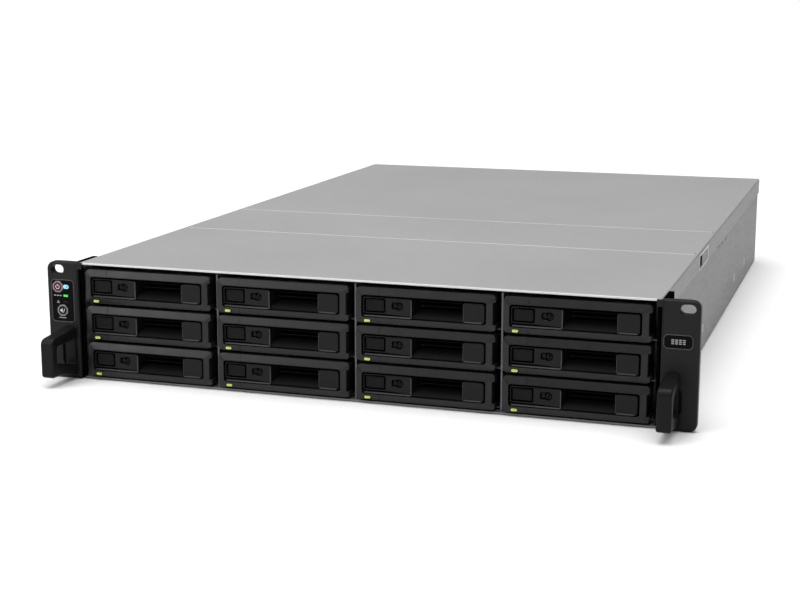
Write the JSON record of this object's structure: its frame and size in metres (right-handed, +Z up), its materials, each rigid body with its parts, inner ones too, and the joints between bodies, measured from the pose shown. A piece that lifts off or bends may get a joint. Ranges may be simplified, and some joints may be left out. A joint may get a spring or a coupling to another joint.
{
  "type": "network attached storage",
  "caption": "Rack network storage unit in a grey steel case, front drive trays with swing-out levers, black ears with handles, hot-swap power supplies at the rear.",
  "frame": {"origin": "centre of the footprint's bounding box, at floor level (the underside of the case)", "axes": "+X to the right seen from the front, +Y to the back, +Z up"},
  "size_m": [0.482, 0.724, 0.088],
  "materials": {
    "cover_sheet": "zinc coated sheet, satin grey",
    "galvanised_sheet": "zinc coated sheet",
    "ear_black": "fine textured black",
    "tray_black": "moulded, satin",
    "lever_black": "moulded, satin",
    "button_dark": "moulded, satin",
    "button_red": "gloss dark red",
    "gloss_black": "polished black",
    "fan_plastic": "moulded black",
    "circuit_board": "solder mask",
    "bare_aluminium": "extruded",
    "psu_case": "bare sheet"
  },
  "bodies": {
    "chassis": {"chassis_base": "galvanised_sheet", "front_cover": "cover_sheet", "cover_bridge": "cover_sheet", "drive_cage": "galvanised_sheet", "backplane": "circuit_board", "fan_frames": "fan_plastic", "mainboard": "circuit_board", "cpu_heatsink": "bare_aluminium", "memory_modules": "circuit_board", "rear_panel": "galvanised_sheet", "left_ear": "ear_black", "right_ear": "ear_black", "rail_studs": "galvanised_sheet", "control_panel": "gloss_black"},
    "rear_cover": {"rear_cover": "cover_sheet"},
    "power_button": {"power_button": "button_red"},
    "mute_button": {"mute_button": "button_dark"},
    "fan_rotor_1": {"fan_rotor_1": "fan_plastic"},
    "fan_rotor_2": {"fan_rotor_2": "fan_plastic"},
    "fan_rotor_3": {"fan_rotor_3": "fan_plastic"},
    "psu_1": {"psu_1": "psu_case"},
    "psu_fan_1": {"psu_fan_1": "fan_plastic"},
    "psu_2": {"psu_2": "psu_case"},
    "psu_fan_2": {"psu_fan_2": "fan_plastic"},
    "tray_01": {"tray_01": "tray_black"},
    "tray_lever_01": {"tray_lever_01": "lever_black"},
    "release_button_01": {"release_button_01": "button_dark"},
    "tray_02": {"tray_02": "tray_black"},
    "tray_lever_02": {"tray_lever_02": "lever_black"},
    "release_button_02": {"release_button_02": "button_dark"},
    "tray_03": {"tray_03": "tray_black"},
    "tray_lever_03": {"tray_lever_03": "lever_black"},
    "release_button_03": {"release_button_03": "button_dark"},
    "tray_04": {"tray_04": "tray_black"},
    "tray_lever_04": {"tray_lever_04": "lever_black"},
    "release_button_04": {"release_button_04": "button_dark"},
    "tray_05": {"tray_05": "tray_black"},
    "tray_lever_05": {"tray_lever_05": "lever_black"},
    "release_button_05": {"release_button_05": "button_dark"},
    "tray_06": {"tray_06": "tray_black"},
    "tray_lever_06": {"tray_lever_06": "lever_black"},
    "release_button_06": {"release_button_06": "button_dark"},
    "tray_07": {"tray_07": "tray_black"},
    "tray_lever_07": {"tray_lever_07": "lever_black"},
    "release_button_07": {"release_button_07": "button_dark"},
    "tray_08": {"tray_08": "tray_black"},
    "tray_lever_08": {"tray_lever_08": "lever_black"},
    "release_button_08": {"release_button_08": "button_dark"},
    "tray_09": {"tray_09": "tray_black"},
    "tray_lever_09": {"tray_lever_09": "lever_black"},
    "release_button_09": {"release_button_09": "button_dark"},
    "tray_10": {"tray_10": "tray_black"},
    "tray_lever_10": {"tray_lever_10": "lever_black"},
    "release_button_10": {"release_button_10": "button_dark"},
    "tray_11": {"tray_11": "tray_black"},
    "tray_lever_11": {"tray_lever_11": "lever_black"},
    "release_button_11": {"release_button_11": "button_dark"},
    "tray_12": {"tray_12": "tray_black"},
    "tray_lever_12": {"tray_lever_12": "lever_black"},
    "release_button_12": {"release_button_12": "button_dark"}
  },
  "joints": [
    {"name": "rear_cover_slide", "type": "slide", "parent": "chassis", "child": "rear_cover", "axis": [0, 1, 0], "range_m": [0, 0.38]},
    {"name": "power_press", "type": "slide", "parent": "chassis", "child": "power_button", "axis": [0, 1, 0], "range_m": [0, 0.0008], "stiffness_N_per_m": 400, "springref_m": -0.001},
    {"name": "mute_press", "type": "slide", "parent": "chassis", "child": "mute_button", "axis": [0, 1, 0], "range_m": [0, 0.0008], "stiffness_N_per_m": 400, "springref_m": -0.001},
    {"name": "fan_1_spin", "type": "hinge", "parent": "chassis", "child": "fan_rotor_1", "pos_m": [-0.14, -0.106, 0.0425], "axis": [0, 1, 0], "continuous": true},
    {"name": "fan_2_spin", "type": "hinge", "parent": "chassis", "child": "fan_rotor_2", "pos_m": [0, -0.106, 0.0425], "axis": [0, 1, 0], "continuous": true},
    {"name": "fan_3_spin", "type": "hinge", "parent": "chassis", "child": "fan_rotor_3", "pos_m": [0.14, -0.106, 0.0425], "axis": [0, 1, 0], "continuous": true},
    {"name": "psu_1_slide", "type": "slide", "parent": "chassis", "child": "psu_1", "axis": [0, 1, 0], "range_m": [0, 0.2]},
    {"name": "psu_fan_1_spin", "type": "hinge", "parent": "psu_1", "child": "psu_fan_1", "pos_m": [0.157, 0.321, 0.0216], "axis": [0, 1, 0], "continuous": true},
    {"name": "psu_2_slide", "type": "slide", "parent": "chassis", "child": "psu_2", "axis": [0, 1, 0], "range_m": [0, 0.2]},
    {"name": "psu_fan_2_spin", "type": "hinge", "parent": "psu_2", "child": "psu_fan_2", "pos_m": [0.157, 0.321, 0.0632], "axis": [0, 1, 0], "continuous": true},
    {"name": "tray_01_slide", "type": "slide", "parent": "chassis", "child": "tray_01", "axis": [0, -1, 0], "range_m": [0, 0.19]},
    {"name": "lever_01_swing", "type": "hinge", "parent": "tray_01", "child": "tray_lever_01", "pos_m": [-0.118, -0.3252, 0.0705], "axis": [0, 0, 1], "range_deg": [0, 65]},
    {"name": "release_01_press", "type": "slide", "parent": "tray_lever_01", "child": "release_button_01", "axis": [0, 1, 0], "range_m": [0, 0.0015], "stiffness_N_per_m": 300, "springref_m": -0.001},
    {"name": "tray_02_slide", "type": "slide", "parent": "chassis", "child": "tray_02", "axis": [0, -1, 0], "range_m": [0, 0.19]},
    {"name": "lever_02_swing", "type": "hinge", "parent": "tray_02", "child": "tray_lever_02", "pos_m": [-0.012, -0.3252, 0.0705], "axis": [0, 0, 1], "range_deg": [0, 65]},
    {"name": "release_02_press", "type": "slide", "parent": "tray_lever_02", "child": "release_button_02", "axis": [0, 1, 0], "range_m": [0, 0.0015], "stiffness_N_per_m": 300, "springref_m": -0.001},
    {"name": "tray_03_slide", "type": "slide", "parent": "chassis", "child": "tray_03", "axis": [0, -1, 0], "range_m": [0, 0.19]},
    {"name": "lever_03_swing", "type": "hinge", "parent": "tray_03", "child": "tray_lever_03", "pos_m": [0.094, -0.3252, 0.0705], "axis": [0, 0, 1], "range_deg": [0, 65]},
    {"name": "release_03_press", "type": "slide", "parent": "tray_lever_03", "child": "release_button_03", "axis": [0, 1, 0], "range_m": [0, 0.0015], "stiffness_N_per_m": 300, "springref_m": -0.001},
    {"name": "tray_04_slide", "type": "slide", "parent": "chassis", "child": "tray_04", "axis": [0, -1, 0], "range_m": [0, 0.19]},
    {"name": "lever_04_swing", "type": "hinge", "parent": "tray_04", "child": "tray_lever_04", "pos_m": [0.2, -0.3252, 0.0705], "axis": [0, 0, 1], "range_deg": [0, 65]},
    {"name": "release_04_press", "type": "slide", "parent": "tray_lever_04", "child": "release_button_04", "axis": [0, 1, 0], "range_m": [0, 0.0015], "stiffness_N_per_m": 300, "springref_m": -0.001},
    {"name": "tray_05_slide", "type": "slide", "parent": "chassis", "child": "tray_05", "axis": [0, -1, 0], "range_m": [0, 0.19]},
    {"name": "lever_05_swing", "type": "hinge", "parent": "tray_05", "child": "tray_lever_05", "pos_m": [-0.118, -0.3252, 0.0429], "axis": [0, 0, 1], "range_deg": [0, 65]},
    {"name": "release_05_press", "type": "slide", "parent": "tray_lever_05", "child": "release_button_05", "axis": [0, 1, 0], "range_m": [0, 0.0015], "stiffness_N_per_m": 300, "springref_m": -0.001},
    {"name": "tray_06_slide", "type": "slide", "parent": "chassis", "child": "tray_06", "axis": [0, -1, 0], "range_m": [0, 0.19]},
    {"name": "lever_06_swing", "type": "hinge", "parent": "tray_06", "child": "tray_lever_06", "pos_m": [-0.012, -0.3252, 0.0429], "axis": [0, 0, 1], "range_deg": [0, 65]},
    {"name": "release_06_press", "type": "slide", "parent": "tray_lever_06", "child": "release_button_06", "axis": [0, 1, 0], "range_m": [0, 0.0015], "stiffness_N_per_m": 300, "springref_m": -0.001},
    {"name": "tray_07_slide", "type": "slide", "parent": "chassis", "child": "tray_07", "axis": [0, -1, 0], "range_m": [0, 0.19]},
    {"name": "lever_07_swing", "type": "hinge", "parent": "tray_07", "child": "tray_lever_07", "pos_m": [0.094, -0.3252, 0.0429], "axis": [0, 0, 1], "range_deg": [0, 65]},
    {"name": "release_07_press", "type": "slide", "parent": "tray_lever_07", "child": "release_button_07", "axis": [0, 1, 0], "range_m": [0, 0.0015], "stiffness_N_per_m": 300, "springref_m": -0.001},
    {"name": "tray_08_slide", "type": "slide", "parent": "chassis", "child": "tray_08", "axis": [0, -1, 0], "range_m": [0, 0.19]},
    {"name": "lever_08_swing", "type": "hinge", "parent": "tray_08", "child": "tray_lever_08", "pos_m": [0.2, -0.3252, 0.0429], "axis": [0, 0, 1], "range_deg": [0, 65]},
    {"name": "release_08_press", "type": "slide", "parent": "tray_lever_08", "child": "release_button_08", "axis": [0, 1, 0], "range_m": [0, 0.0015], "stiffness_N_per_m": 300, "springref_m": -0.001},
    {"name": "tray_09_slide", "type": "slide", "parent": "chassis", "child": "tray_09", "axis": [0, -1, 0], "range_m": [0, 0.19]},
    {"name": "lever_09_swing", "type": "hinge", "parent": "tray_09", "child": "tray_lever_09", "pos_m": [-0.118, -0.3252, 0.0153], "axis": [0, 0, 1], "range_deg": [0, 65]},
    {"name": "release_09_press", "type": "slide", "parent": "tray_lever_09", "child": "release_button_09", "axis": [0, 1, 0], "range_m": [0, 0.0015], "stiffness_N_per_m": 300, "springref_m": -0.001},
    {"name": "tray_10_slide", "type": "slide", "parent": "chassis", "child": "tray_10", "axis": [0, -1, 0], "range_m": [0, 0.19]},
    {"name": "lever_10_swing", "type": "hinge", "parent": "tray_10", "child": "tray_lever_10", "pos_m": [-0.012, -0.3252, 0.0153], "axis": [0, 0, 1], "range_deg": [0, 65]},
    {"name": "release_10_press", "type": "slide", "parent": "tray_lever_10", "child": "release_button_10", "axis": [0, 1, 0], "range_m": [0, 0.0015], "stiffness_N_per_m": 300, "springref_m": -0.001},
    {"name": "tray_11_slide", "type": "slide", "parent": "chassis", "child": "tray_11", "axis": [0, -1, 0], "range_m": [0, 0.19]},
    {"name": "lever_11_swing", "type": "hinge", "parent": "tray_11", "child": "tray_lever_11", "pos_m": [0.094, -0.3252, 0.0153], "axis": [0, 0, 1], "range_deg": [0, 65]},
    {"name": "release_11_press", "type": "slide", "parent": "tray_lever_11", "child": "release_button_11", "axis": [0, 1, 0], "range_m": [0, 0.0015], "stiffness_N_per_m": 300, "springref_m": -0.001},
    {"name": "tray_12_slide", "type": "slide", "parent": "chassis", "child": "tray_12", "axis": [0, -1, 0], "range_m": [0, 0.19]},
    {"name": "lever_12_swing", "type": "hinge", "parent": "tray_12", "child": "tray_lever_12", "pos_m": [0.2, -0.3252, 0.0153], "axis": [0, 0, 1], "range_deg": [0, 65]},
    {"name": "release_12_press", "type": "slide", "parent": "tray_lever_12", "child": "release_button_12", "axis": [0, 1, 0], "range_m": [0, 0.0015], "stiffness_N_per_m": 300, "springref_m": -0.001}
  ]
}
